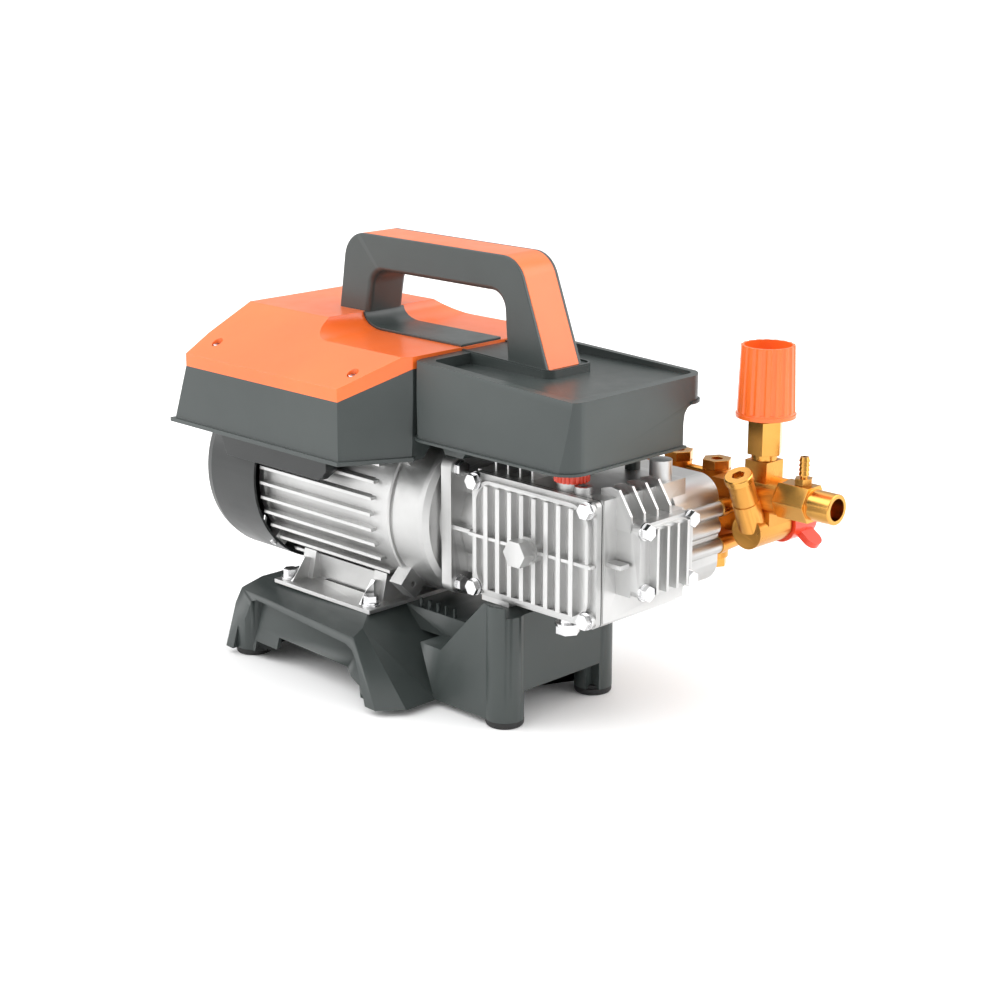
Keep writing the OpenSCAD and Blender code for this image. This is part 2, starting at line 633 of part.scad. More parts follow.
module saddle_strip() place() color("#3f4744") intersection() {
    difference() {
        recess_tool(0);
        prism_xz(-100, 100, concat([[-69, ridge_z + 30], [-69, ridge_z]],
            [for (a = [180 : 15 : 270]) [-51 + 18 * cos(a), ridge_z + 10 * sin(a)]],
            [[70, recess_z + 2], [70, ridge_z + 30]]));
    }
    box([-72, -20, 200], [case_end_x, 20, ridge_z - 0.2]);
}

// ---------------------------------------------------------------- crankcase
module face_plate(y0, y1) along_y(pump_mid_x, y0, axis_z) linear_extrude(y1 - y0)
    round_rect(2 * face_half_x, 2 * face_half_z, 4);
module at_face_corners(y) for (sx = [-1, 1], sz = [-1, 1])
    translate([pump_mid_x + sx * (face_half_x - 6), y, axis_z + sz * (face_half_z - 6)])
        rotate([90, 0, 0]) children();
module at_end_corners(x) for (sy = [-1, 1], sz = [-1, 1])
    translate([x, sy * 23, axis_z + 3 + sz * 21.5]) rotate([0, 90, 0]) children();
module at_flange_corners(x) for (sy = [-1, 1], sz = [-1, 1])
    translate([x, sy * 43, axis_z + sz * 43]) rotate([0, 90, 0]) children();
module at_head_bolts(y) for (sx = [-1, 1], z = head_bolt_z)
    translate([pump_mid_x + sx * head_bolt_dx, y, z]) rotate([-90, 0, 0]) children();
module crankcase_outside() {
    face_plate(case_front_y, case_front_y + 9);
    box([72, case_front_y + 1, 95], [192, 44, 182]);
    along_y(pump_mid_x, 30, axis_z) linear_extrude(head_joint_y - 30) round_rect(128, 80, 18);
    along_x(55) cylinder(r = 41, h = 20);
    translate([bell_face_x, 0, axis_z]) rotate([90, 0, 90]) linear_extrude(10) round_rect(102, 102, 8);
    for (s = [-1, 1]) box([54, s * 32 - 2, 100], [73, s * 32 + 2, 174]);
    box([54, -49, axis_z - 1.5], [72, 49, axis_z + 1.5]);
    box([190, -27.6, 113.7], [205, 27.6, 166]);
    for (i = [0 : 3]) prism_xz(-28.5 + i * 13.4, -26.3 + i * 13.4, [[178, 160], [178, 186],
        [187, 188.6], [194, 187.5], [205, 171], [205, 160]]);
    for (y = [-38, 28]) box([190, y, axis_z - 1.5], [205, y + 9, axis_z + 1.5]);
    for (i = [0 : 4]) box([84 + i * 23.6, -30, 88], [86.5 + i * 23.6, 50, 97]);
    for (i = [0 : 3]) box([84.5 + i * 11.8, -36, 178], [86.3 + i * 11.8, 30, 190]);
    translate([153, -30.5, 178]) cylinder(r = 10.4, h = 9);
    translate([168, -35, 176]) cylinder(r = 6.4, h = 11);
    translate([181, 30, 176]) cylinder(r = 8, h = 20);
    along_y(pump_mid_x + face_half_x + 3, 40, axis_z + 5) cylinder(r = 7, h = 33);
    at_head_bolts(38) cylinder(r = 5.8, h = head_joint_y - 38);
    for (y = [-28, 28]) box([73, y - 10, 84], [100, y + 10, 100]);
}
module crankcase() place() color("#cfd0ce") difference() {
    crankcase_outside();
    box([78, case_front_y - 1, 101], [186, 36, 174]);
    box([84, case_front_y + 8, 98], [180, 30, 176]);
    for (x = crank_x) along_y(x, 30, axis_z) cylinder(r = guide_r + slip, h = 60);
    along_x(40) cylinder(r = 25, h = 27);
    along_x(60) cylinder(r = 21, h = 150);
    translate([153, -30.5, 170]) cylinder(r = 8.1, h = 30);
    translate([168, -35, 180]) cylinder(r = 3.4, h = 12);
    translate([150, -30, 80]) cylinder(r = 6.1, h = 30);
    at_face_corners(case_front_y + 9.5) cylinder(r = 3, h = 12);
    at_end_corners(193) cylinder(r = 2.6, h = 14);
    at_flange_corners(40) cylinder(r = 3.1, h = 20);
    at_head_bolts(50) cylinder(r = 3, h = 40);
    for (x = cover_post_x) translate([x, cover_post_y, 176]) cylinder(r = 1.6, h = 12);
}
// raised ring and ribs on the outside of the crankcase cover
module cover_relief() {
    along_y(pump_mid_x, -50.5, axis_z) linear_extrude(4) difference() {
        round_rect(2 * face_half_x - 9, 2 * face_half_z - 7, 17);
        round_rect(2 * face_half_x - 15, 2 * face_half_z - 13, 14);
    }
    pitch = (2 * face_half_x - 26) / cover_ribs;
    for (i = [0 : cover_ribs - 1])
        box([pump_mid_x - face_half_x + 13 + pitch * (i + 0.5) - 2, -52.6, axis_z - 38],
            [pump_mid_x - face_half_x + 13 + pitch * (i + 0.5) + 2, -46, axis_z + 38]);
    box([pump_mid_x - face_half_x + 1, -52, axis_z - 1.2],
        [pump_mid_x + face_half_x - 1, -46, axis_z + 1.2]);
}
module crankcase_cover() place() color("#cfd0ce") difference() {
    union() {
        face_plate(-47, -42.4);
        difference() {
            cover_relief();
            at_face_corners(-46) cylinder(r = 6.8, h = 20);
        }
        along_y(pump_mid_x, -53, axis_z) cylinder(r = 10, h = 8);
        at_face_corners(-46) cylinder(r = 6, h = 3.5);
    }
    along_y(pump_mid_x, -60, axis_z) cylinder(r = 6.1, h = 30);
    along_y(pump_mid_x, -45.4, axis_z) linear_extrude(8) round_rect(100, 70, 14);
    at_face_corners(-30) cylinder(r = 3.1, h = 30);
}
module cover_gasket() place() color("#2c2f2e") difference() {
    face_plate(-42.4, case_front_y);
    along_y(pump_mid_x, -45.4, axis_z) linear_extrude(8) round_rect(100, 70, 8);
    at_face_corners(-30) cylinder(r = 3.1, h = 30);
}
module crankcase_bolts() place() color("#e4e4e2") {
    at_face_corners(-49.5) bolt(bolt_af, 5.5, 2.9, 12);
    at_end_corners(213) bolt(bolt_af, 5.5, 2.5, 12);
    at_flange_corners(bell_face_x + 10) bolt(bolt_af, 5.5, 3, 9.8);
}
module centre_plug() place() color("#c4c5c3") along_y(pump_mid_x, -53, axis_z) {
    translate([0, 0, -3.5]) cylinder(r = 8.5, h = 3.5);
    translate([0, 0, -13]) hex(18, 9.5);
    cylinder(r = 6, h = 9);
}
module drain_plug() place() color("#d0d1cf") translate([150, -30, 84]) {
    translate([0, 0, -8]) hex(15, 6);
    translate([0, 0, -2.2]) cylinder(r = 9, h = 2.2);
    cylinder(r = 6, h = 14);
}
module oil_cap() place() color("#d8401f") translate([153, -30.5, 187 + gap]) {
    difference() {
        union() {
            cylinder(r = 11.6, h = 6);
            for (i = [0 : 23]) rotate(i * 15) translate([11.4, 0, 0]) cylinder(r = 1.2, h = 6, $fn = 8);
        }
        translate([0, 0, 4.5]) cylinder(r = 7, h = 3);
    }
    translate([0, 0, -10]) cylinder(r = 8.1 - slip, h = 11);
}
module end_cover() place() color("#cfd0ce") difference() {
    union() {
        translate([205, 0, axis_z + 3]) rotate([90, 0, 90]) linear_extrude(8) round_rect(55.2, 52.3, 5);
        for (i = [-1.5 : 1 : 1.5]) box([212, i * 10.5 - 1.2, 116.5], [219, i * 10.5 + 1.2, 163]);
        box([212, -17, 161], [216, 17, 163.5]);
        at_end_corners(212) cylinder(r = 6.2, h = 1);
    }
    along_x(204) cylinder(r = 21, h = 3);
    at_end_corners(200) cylinder(r = 2.7, h = 20);
}

// ---------------------------------------------------------------- crank train
module crankshaft() place() color("#a7abad") difference() {
    union() {
        along_x(56.5) cylinder(r = 15, h = 12);
        along_x(68) cylinder(r = 17, h = 20);
        along_x(186) cylinder(r = journal_r, h = 18);
        along_x(176) cylinder(r = 17, h = 12);
        for (x = [crank_x[0] + 8, crank_x[1] + 8]) along_x(x) cylinder(r = 17, h = 20);
        for (i = [0 : 2]) translate([crank_x[i] - 8.5, crank_throw * cos(crank_angle[i]),
            axis_z + crank_throw * sin(crank_angle[i])]) rotate([0, 90, 0])
                cylinder(r = pin_r, h = 17);
    }
    along_x(50) cylinder(r = shaft_r, h = 16);
}
module conrod(i) place() color("#b9a06a")
    translate([crank_x[i], crank_throw * cos(crank_angle[i]),
        axis_z + crank_throw * sin(crank_angle[i])]) difference() {
        union() {
            translate([-7.7, 0, 0]) rotate([0, 90, 0]) cylinder(r = 21, h = 15.4);
            box([-3.5, 18, -3], [3.5, rod_len, 3]);
            translate([-4, rod_len, 0]) rotate([0, 90, 0]) cylinder(r = 5, h = 8);
            translate([-6, rod_len, 0]) rotate([0, 90, 0]) cylinder(r = 2.5, h = 12);
        }
        translate([-10, 0, 0]) rotate([0, 90, 0]) cylinder(r = pin_r + slip, h = 20);
    }
module conrod_1() conrod(0);
module conrod_2() conrod(1);
module conrod_3() conrod(2);
// crosshead cup and ceramic plunger, shown where the crank holds it
module plunger(i) place() color("#e9e6dc")
    along_y(crank_x[i], crank_throw * cos(crank_angle[i]), axis_z) {
        translate([0, 0, 38]) tube(guide_r, cup_r, 27);
        translate([0, 0, 64]) cylinder(r = guide_r, h = 4);
        translate([0, 0, 67]) cylinder(r = plunger_r, h = 31);
        translate([0, 0, 98]) cylinder(r1 = plunger_r, r2 = plunger_r - 1, h = 1);
    }
module plunger_1() plunger(0);
module plunger_2() plunger(1);
module plunger_3() plunger(2);
module plunger_seals() place() color("#7a2f22")
    for (x = crank_x, y = [78, 83]) along_y(x, y, axis_z) tube(12.4, plunger_r + slip, 4);

// ---------------------------------------------------------------- brass head
module pump_head() place() color("#d9963f") difference() {
    union() {
        along_y(pump_mid_x, head_joint_y, axis_z) linear_extrude(34) round_rect(110, 50, 10);
        along_y(pump_mid_x, head_joint_y, axis_z) linear_extrude(head_end_y - head_joint_y)
            round_rect(98, 42, 12);
        at_head_bolts(head_joint_y) {
            cylinder(r = 6.6, h = 6);
            cylinder(r1 = 6.4, r2 = 4.8, h = 30);
        }
        for (sx = [-1, 1], z = head_bolt_z) box([pump_mid_x + sx * 58 - 6, head_joint_y, z - 5],
            [pump_mid_x + sx * 58 + 6, head_joint_y + 9, z + 5]);
        for (x = crank_x) translate([x, valve_y, 0]) {
            translate([0, 0, 155]) cylinder(r1 = 8.4, r2 = 10.4, h = 17.4);
            translate([0, 0, 106]) cylinder(r = 10.2, h = 12);
        }
        along_x(pump_mid_x - 44) translate([-30.5, valve_y, 0]) cylinder(r = 3.4, h = 88);
        box([180, 96, 132.5], [207.6, 114.5, 147]);
        box([180, 88, 155], [207.6, 104, 172]);
    }
    for (x = crank_x) {
        along_y(x, head_joint_y - 1, axis_z) cylinder(r = 12.5, h = 11);
        along_y(x, head_joint_y, axis_z) cylinder(r = plunger_r + 0.6, h = 38);
        translate([x, valve_y, 100]) cylinder(r = valve_r, h = 80);
    }
    along_x(88) translate([-23, fit_y, 0]) cylinder(r = 4, h = 135);
    along_x(88) translate([-1, 107, 0]) translate([0, 0, 0]) cylinder(r = 5, h = 135);
    at_head_bolts(60) cylinder(r = 3.1, h = 60);
}
module head_bolts() place() color("#dadad8") at_head_bolts(107 + 0.1) bolt(9, 5, 2.9, 48);
module valve_plugs() place() color("#c98433") for (x = crank_x) {
    translate([x, valve_y, 172.4]) difference() {
        union() {
            hex(19.4, plug_top_z - 172.4);
            translate([0, 0, -9]) cylinder(r = valve_r, h = 9.5);
        }
        translate([0, 0, plug_top_z - 172.4 - 4]) hex(8, 6);
    }
    translate([x, valve_y, 99]) difference() {
        union() {
            hex(17, 7);
            cylinder(r = valve_r, h = 13);
        }
        translate([0, 0, -1]) hex(8, 5);
    }
}
// poppet with its seat guide: the disc lifts off towards +Z
module poppet(x, z, shade) place() color(shade) translate([x, valve_y, z]) {
    cylinder(r = valve_r - 1.5, h = 2);
    translate([0, 0, 1]) cylinder(r = 1.5, h = 5);
}
module suction_valve_1() poppet(crank_x[0], 122, "#c7c9c8");
module suction_valve_2() poppet(crank_x[1], 122, "#c7c9c8");
module suction_valve_3() poppet(crank_x[2], 122, "#c7c9c8");
module delivery_valve_1() poppet(crank_x[0], 152, "#c7c9c8");
module delivery_valve_2() poppet(crank_x[1], 152, "#c7c9c8");
module delivery_valve_3() poppet(crank_x[2], 152, "#c7c9c8");

// ---------------------------------------------------------------- unloader and fittings
plug_tilt = 24.3;
arm_end_x = 238.6;
barb_x = 255;
nut_af = 25;
module on_plug_axis() translate([fit_x, 85, 144]) rotate([plug_tilt, 0, 0]) children();
module unloader_body() place() color("#dc9a42") difference() {
    union() {
        box([fit_x - 9.5, fit_y - 9.5, 158], [fit_x + 9.5, fit_y + 9.5, 191]);
        along_x(208) translate([axis_z - outlet_z, fit_y, 0]) cylinder(r = 13.4, h = arm_end_x - 208);
        along_y(fit_x, 78, inlet_z) cylinder(r = 12.6, h = 36);
        along_y(fit_x, 114, inlet_z) cylinder(r = 9, h = 9);
        along_y(fit_x, 122, inlet_z) cylinder(r = 11, h = 2.5);
        on_plug_axis() cylinder(r = 9.3, h = 40);
        on_plug_axis() cylinder(r = 9.9, h = 22);
        translate([fit_x - 12, 88, inlet_z]) cube([24, 22, 20]);
    }
    translate([fit_x, fit_y, 150]) cylinder(r = 6.5, h = 60);
    along_x(200) translate([axis_z - outlet_z, fit_y, 0]) cylinder(r = 5.5, h = 40);
    along_y(fit_x, 90, inlet_z) cylinder(r = 7, h = 60);
    on_plug_axis() translate([0, 0, 12]) cylinder(r = 6, h = 40);
    along_x(200) translate([axis_z - 138, 107, 0]) cylinder(r = 5, h = 16);
    along_x(200) translate([axis_z - 160, fit_y, 0]) cylinder(r = 4, h = 16);
}
module inclined_plug() place() color("#c98433") on_plug_axis() difference() {
    union() {
        translate([0, 0, 40]) cylinder(r = 10.4, h = 4);
        translate([0, 0, 44]) cylinder(r1 = 10.4, r2 = 9.6, h = 1);
        translate([0, 0, 30]) cylinder(r = 5.9, h = 11);
    }
    translate([0, 0, 40]) hex(8, 8);
}
module outlet_nipple() place() color("#dc9a42") translate([0, fit_y, outlet_z])
    rotate([0, 90, 0]) difference() {
        union() {
            translate([0, 0, arm_end_x]) rotate(30) hex(nut_af, 25.9);
            translate([0, 0, 264]) cylinder(r = outlet_r, h = outlet_tip_x - 264.6);
            translate([0, 0, outlet_tip_x - 0.6]) cylinder(r1 = outlet_r, r2 = outlet_r - 0.6, h = 0.6);
            translate([0, 0, 226]) cylinder(r = 5.4, h = arm_end_x - 225);
        }
        translate([0, 0, 200]) cylinder(r = 3.5, h = 100);
        translate([0, 0, 262]) cylinder(r = 7.9, h = 40);
        translate([-8, 0, barb_x]) rotate([0, -90, 0]) cylinder(r = 3, h = 10);
    }
module hose_barb() place() color("#e0a24a") translate([barb_x, fit_y, outlet_z + nut_af / 2]) difference() {
    union() {
        hex(11.5, 5);
        cylinder(r = 2.6, h = 20);
        for (i = [0 : 3]) translate([0, 0, 7 + i * 3.3]) cylinder(r1 = 3.9, r2 = 3, h = 3.2);
        translate([0, 0, -4]) cylinder(r = 2.9, h = 5);
    }
    translate([0, 0, -10]) cylinder(r = 1.5, h = 40);
}
module regulator_bonnet() place() color("#c98433") translate([fit_x, fit_y, 0]) difference() {
    union() {
        translate([0, 0, 178]) cylinder(r = 6.4, h = 19);
        translate([0, 0, 191.2]) cylinder(r = 9.2, h = 4.5);
        translate([0, 0, 195.5]) hex(22.5, 24);
        translate([0, 0, 215]) cylinder(r = 10.4, h = 5.5);
    }
    translate([0, 0, 170]) cylinder(r = 4.6, h = 42);
    translate([0, 0, 200]) cylinder(r = 3 + slip, h = 40);
}
module spring_seat() place() color("#b8bbbd") translate([fit_x, fit_y, 0]) {
    translate([0, 0, 204.5]) cylinder(r = 4.3, h = 3);
    translate([0, 0, 207]) cylinder(r = 3, h = 58);
}
// wire coil between the unloader's piston and the spring seat
coil_turns = 6;
coil_r = 3.5;
coil_wire = 0.7;
coil_z = [179, 203.5];
coil_step = 12;
function ring_point(i, k) = let(a = i * 360 / coil_step, t = k * 60)
    [(coil_r + coil_wire * cos(t)) * cos(a), (coil_r + coil_wire * cos(t)) * sin(a),
     coil_z[0] + (coil_z[1] - coil_z[0]) * i / (coil_turns * coil_step) + coil_wire * sin(t)];
module regulator_spring() place() color("#8f9496") translate([fit_x, fit_y, 0]) {
    n = coil_turns * coil_step;
    polyhedron(points = [for (i = [0 : n], k = [0 : 5]) ring_point(i, k)],
        faces = concat([[for (k = [0 : 5]) k]], [[for (k = [5 : -1 : 0]) n * 6 + k]],
            [for (i = [0 : n - 1], k = [0 : 5])
                [i * 6 + k, (i + 1) * 6 + k, (i + 1) * 6 + (k + 1) % 6, i * 6 + (k + 1) % 6]]));
}
module pressure_knob() place() color("#ef6a33") translate([fit_x, fit_y, 0]) difference() {
    body_r = knob_r - 0.8;
    body_h = knob_z[1] - knob_z[0] - 2.6;
    union() {
        translate([0, 0, knob_z[0]]) cylinder(r = knob_r, h = 2.6);
        translate([0, 0, knob_z[0] + 2.6]) cylinder(r1 = body_r, r2 = knob_top_r, h = body_h);
    }
    for (i = [0 : knob_flutes - 1]) rotate(i * 360 / knob_flutes)
        translate([body_r + 1.5, 0, knob_z[0] + 4]) rotate([0, atan((knob_top_r - body_r) / body_h), 0])
            cylinder(r = 2.6, h = body_h + 5);
    translate([0, 0, knob_z[1] - 12]) cylinder(r = knob_top_r - 2.2, h = 20);
    translate([0, 0, knob_z[0] - 1]) cylinder(r = 15, h = 13);
    translate([0, 0, 200]) cylinder(r = 3 + slip, h = 70);
}
module inlet_wing_nut() place() color("#d8401f") along_y(fit_x, 0, inlet_z) difference() {
    union() {
        translate([0, 0, 115.5]) cylinder(r = 15, h = inlet_end_y - 115.5 - 1);
        translate([0, 0, inlet_end_y - 1]) cylinder(r1 = 15, r2 = 14, h = 1);
        for (s = [0, 180]) rotate(s + 35) {
            box([12, -2.5, 124], [23, 2.5, 138]);
            translate([22, 2.5, 131]) rotate([90, 0, 0]) cylinder(r = 7, h = 5);
        }
    }
    translate([0, 0, 110]) cylinder(r = 9 + slip, h = 12);
    translate([0, 0, 121.5]) cylinder(r = 11.4, h = 8);
    translate([0, 0, 126]) cylinder(r = 10.5, h = 30);
}

base_frame();
rubber_feet();
motor_housing();
foot_bracket();
foot_bolts();
stator_core();
stator_windings();
front_end_bell();
rear_end_bell();
fan_cowl();
panel_screws();
case_saddles();
electrical_case();
case_cover();
capacitor();
switch_body();
switch_rocker();
cable_gland();
pump_cover();
handle_grip();
handle_band();
saddle_strip();
crankcase();
crankcase_cover();
cover_gasket();
crankcase_bolts();
centre_plug();
drain_plug();
oil_cap();
end_cover();
shaft_bearings();
motor_shaft();
rotor_core();
cooling_fan();
crankshaft();
conrod_1();
conrod_2();
conrod_3();
plunger_1();
plunger_2();
plunger_3();
plunger_seals();
pump_head();
head_bolts();
valve_plugs();
suction_valve_1();
suction_valve_2();
suction_valve_3();
delivery_valve_1();
delivery_valve_2();
delivery_valve_3();
unloader_body();
regulator_bonnet();
regulator_spring();
spring_seat();
pressure_knob();
inclined_plug();
outlet_nipple();
hose_barb();
inlet_wing_nut();
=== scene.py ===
"""Looks of the portable pressure washer pump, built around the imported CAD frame."""
import json
import math

import bmesh
import bpy
from mathutils import Matrix, Vector


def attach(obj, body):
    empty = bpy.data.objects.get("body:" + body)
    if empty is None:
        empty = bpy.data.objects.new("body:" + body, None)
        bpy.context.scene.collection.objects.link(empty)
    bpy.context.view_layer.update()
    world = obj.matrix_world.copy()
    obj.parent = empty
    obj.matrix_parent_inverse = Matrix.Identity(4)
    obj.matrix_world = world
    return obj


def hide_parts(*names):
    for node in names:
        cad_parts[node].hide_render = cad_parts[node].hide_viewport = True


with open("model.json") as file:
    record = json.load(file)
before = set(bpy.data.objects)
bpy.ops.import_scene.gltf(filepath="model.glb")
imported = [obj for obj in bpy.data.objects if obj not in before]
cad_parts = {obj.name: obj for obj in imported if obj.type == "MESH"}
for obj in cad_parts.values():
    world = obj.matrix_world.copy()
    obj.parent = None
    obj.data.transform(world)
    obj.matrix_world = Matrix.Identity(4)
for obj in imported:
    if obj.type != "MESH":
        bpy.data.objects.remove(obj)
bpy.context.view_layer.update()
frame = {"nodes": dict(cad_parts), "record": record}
nodes = frame["nodes"]

MM = 0.001
# The working frame of the design has its zero at the motor's front ring, on the crank axis.
SHIFT = Vector((39.5, 12.0, 0.0))


def at(x, y, z):
    """A point of the design, in millimetres, as a point of the frame in metres."""
    return (Vector((x, y, z)) - SHIFT) * MM


# ------------------------------------------------------------------ camera, floor and light
CAMERA_PLACE = (1070.78, -1027.44, 560.08)
CAMERA_AZIMUTH = 44.71
CAMERA_ELEVATION = 15.95
CAMERA_LENS = 73.98
FLOOR_HALF = 30
WALL_RADIUS = 29.0
WALL_HEIGHT = 4.0


def make_camera():
    azimuth, elevation = math.radians(CAMERA_AZIMUTH), math.radians(CAMERA_ELEVATION)
    back = Vector((math.sin(azimuth) * math.cos(elevation),
                   -math.cos(azimuth) * math.cos(elevation), math.sin(elevation)))
    right = Vector((math.cos(azimuth), math.sin(azimuth), 0))
    up = back.cross(right)
    data = bpy.data.cameras.new("camera")
    data.sensor_width = 36
    data.lens = CAMERA_LENS
    data.clip_end = 100
    camera = bpy.data.objects.new("camera", data)
    camera.matrix_world = Matrix.Translation(at(*CAMERA_PLACE)) @ Matrix(
        (right, up, back)).transposed().to_4x4()
    bpy.context.scene.collection.objects.link(camera)
    bpy.context.scene.camera = camera


def node_tree(name):
    material = bpy.data.materials.new(name)
    material.use_nodes = True
    tree = material.node_tree
    return material, tree, tree.nodes["Principled BSDF"]


def make_floor():
    size = FLOOR_HALF
    mesh = bpy.data.meshes.new("floor")
    mesh.from_pydata([(-size, -size, 0), (size, -size, 0), (size, size, 0), (-size, size, 0)],
                     [], [(0, 1, 2, 3)])
    floor = bpy.data.objects.new("floor", mesh)
    bpy.context.scene.collection.objects.link(floor)
    material, _, shader = node_tree("floor_white")
    shader.inputs["Base Color"].default_value = (0.96, 0.96, 0.96, 1)
    shader.inputs["Roughness"].default_value = 0.9
    shader.inputs["Specular IOR Level"].default_value = 0.1
    mesh.materials.append(material)


def make_backdrop():
    """A low white wall far behind the floor, so that low views end in white too."""
    count = 48
    turns = [2 * math.pi * i / count for i in range(count)]
    ring = [(WALL_RADIUS * math.cos(turn), WALL_RADIUS * math.sin(turn)) for turn in turns]
    points = [(x, y, z) for z in (-0.1, WALL_HEIGHT) for x, y in ring]
    faces = [(i, (i + 1) % count, count + (i + 1) % count, count + i) for i in range(count)]
    mesh = bpy.data.meshes.new("backdrop")
    mesh.from_pydata(points, [], faces)
    backdrop = bpy.data.objects.new("backdrop", mesh)
    bpy.context.scene.collection.objects.link(backdrop)
    material, _, shader = node_tree("backdrop_white")
    shader.inputs["Base Color"].default_value = (0, 0, 0, 1)
    shader.inputs["Emission Color"].default_value = (1, 1, 1, 1)
    shader.inputs["Emission Strength"].default_value = 1.05
    mesh.materials.append(material)


# Soft boxes of the studio: direction, inner and outer edge (cosines), added radiance.
SOFT_BOXES = [
    ((0.0, 0.0, 1.0), 0.95, 0.25, 1.15),
    ((-0.68, -0.62, 0.38), 0.95, 0.72, 2.3),
    ((0.74, 0.60, 0.32), 0.95, 0.74, 2.6),
    ((0.10, -0.95, 0.30), 0.97, 0.86, 0.7),
]
AMBIENT = 0.52


def make_light():
    world = bpy.data.worlds.new("studio")
    world.use_nodes = True
    tree = world.node_tree
    background = tree.nodes["Background"]
    coordinate = tree.nodes.new("ShaderNodeTexCoord")
    total = None
    for direction, inner, outer, radiance in SOFT_BOXES:
        dot = tree.nodes.new("ShaderNodeVectorMath")
        dot.operation = "DOT_PRODUCT"
        dot.inputs[1].default_value = Vector(direction).normalized()
        tree.links.new(coordinate.outputs["Generated"], dot.inputs[0])
        lobe = tree.nodes.new("ShaderNodeMapRange")
        lobe.interpolation_type = "SMOOTHERSTEP"
        lobe.inputs["From Min"].default_value = outer
        lobe.inputs["From Max"].default_value = inner
        lobe.inputs["To Max"].default_value = radiance
        tree.links.new(dot.outputs["Value"], lobe.inputs["Value"])
        add = tree.nodes.new("ShaderNodeMath")
        tree.links.new(lobe.outputs["Result"], add.inputs[0])
        if total is None:
            add.inputs[1].default_value = AMBIENT
        else:
            tree.links.new(total, add.inputs[1])
        total = add.outputs[0]
    tree.links.new(total, background.inputs["Strength"])
    background.inputs["Color"].default_value = (1, 1, 1, 1)
    bpy.context.scene.world = world
    bpy.context.scene.view_settings.view_transform = "Standard"


# ------------------------------------------------------------------ materials
def noise(tree, scale, detail=3.0, roughness=0.55):
    coordinate = tree.nodes.new("ShaderNodeTexCoord")
    texture = tree.nodes.new("ShaderNodeTexNoise")
    texture.inputs["Scale"].default_value = scale
    texture.inputs["Detail"].default_value = detail
    texture.inputs["Roughness"].default_value = roughness
    tree.links.new(coordinate.outputs["Object"], texture.inputs["Vector"])
    return texture.outputs["Fac"]


def ramp_between(tree, factor, low, high, start=0.3, end=0.7):
    ramp = tree.nodes.new("ShaderNodeValToRGB")
    ramp.color_ramp.elements[0].position = start
    ramp.color_ramp.elements[1].position = end
    ramp.color_ramp.elements[0].color = (*low, 1)
    ramp.color_ramp.elements[1].color = (*high, 1)
    tree.links.new(factor, ramp.inputs["Fac"])
    return ramp.outputs["Color"]


def value_between(tree, factor, low, high):
    spread = tree.nodes.new("ShaderNodeMapRange")
    spread.inputs["From Min"].default_value = 0.3
    spread.inputs["From Max"].default_value = 0.7
    spread.inputs["To Min"].default_value = low
    spread.inputs["To Max"].default_value = high
    tree.links.new(factor, spread.inputs["Value"])
    return spread.outputs["Result"]


def add_bump(tree, shader, heights):
    """heights is a list of (factor socket, strength, distance in metres)."""
    previous = None
    for factor, strength, distance in heights:
        bump = tree.nodes.new("ShaderNodeBump")
        bump.inputs["Strength"].default_value = strength
        bump.inputs["Distance"].default_value = distance
        tree.links.new(factor, bump.inputs["Height"])
        if previous is not None:
            tree.links.new(previous, bump.inputs["Normal"])
        previous = bump.outputs["Normal"]
    tree.links.new(previous, shader.inputs["Normal"])


def edge_wear(tree, colour, worn, amount):
    """Lightens the convex edges, where handling rubs a surface."""
    geometry = tree.nodes.new("ShaderNodeNewGeometry")
    spread = tree.nodes.new("ShaderNodeMapRange")
    spread.inputs["From Min"].default_value = 0.53
    spread.inputs["From Max"].default_value = 0.62
    spread.inputs["To Max"].default_value = amount
    mix = tree.nodes.new("ShaderNodeMix")
    mix.data_type = "RGBA"
    mix.inputs["B"].default_value = (*worn, 1)
    tree.links.new(geometry.outputs["Pointiness"], spread.inputs["Value"])
    tree.links.new(spread.outputs["Result"], mix.inputs["Factor"])
    tree.links.new(colour, mix.inputs["A"])
    return mix.outputs["Result"]


def plastic(name, dark, light, rough, grain=2600, grain_depth=0.06, coat=0.0, wear=0.25):
    material, tree, shader = node_tree(name)
    broad = noise(tree, 9, 4)
    colour = ramp_between(tree, broad, dark, light)
    worn = tuple(min(1, c * 1.5 + 0.02) for c in light)
    tree.links.new(edge_wear(tree, colour, worn, wear), shader.inputs["Base Color"])
    tree.links.new(value_between(tree, noise(tree, 40, 5), *rough), shader.inputs["Roughness"])
    shader.inputs["Specular IOR Level"].default_value = 0.5
    shader.inputs["Coat Weight"].default_value = coat
    shader.inputs["Coat Roughness"].default_value = 0.2
    add_bump(tree, shader, [(noise(tree, grain, 2), grain_depth, 0.0002),
                            (noise(tree, 60, 2), 0.02, 0.001)])
    return material


def metal(name, dark, light, rough, pits=900, pit_depth=0.1, lumps=120, lump_depth=0.05):
    material, tree, shader = node_tree(name)
    shader.inputs["Metallic"].default_value = 1.0
    broad = noise(tree, 14, 5)
    colour = ramp_between(tree, broad, dark, light)
    tree.links.new(edge_wear(tree, colour, tuple(min(1, c * 1.15) for c in light), 0.6),
                   shader.inputs["Base Color"])
    tree.links.new(value_between(tree, noise(tree, 55, 6), *rough), shader.inputs["Roughness"])
    add_bump(tree, shader, [(noise(tree, lumps, 3), lump_depth, 0.001),
                            (noise(tree, pits, 4), pit_depth, 0.0003)])
    return material


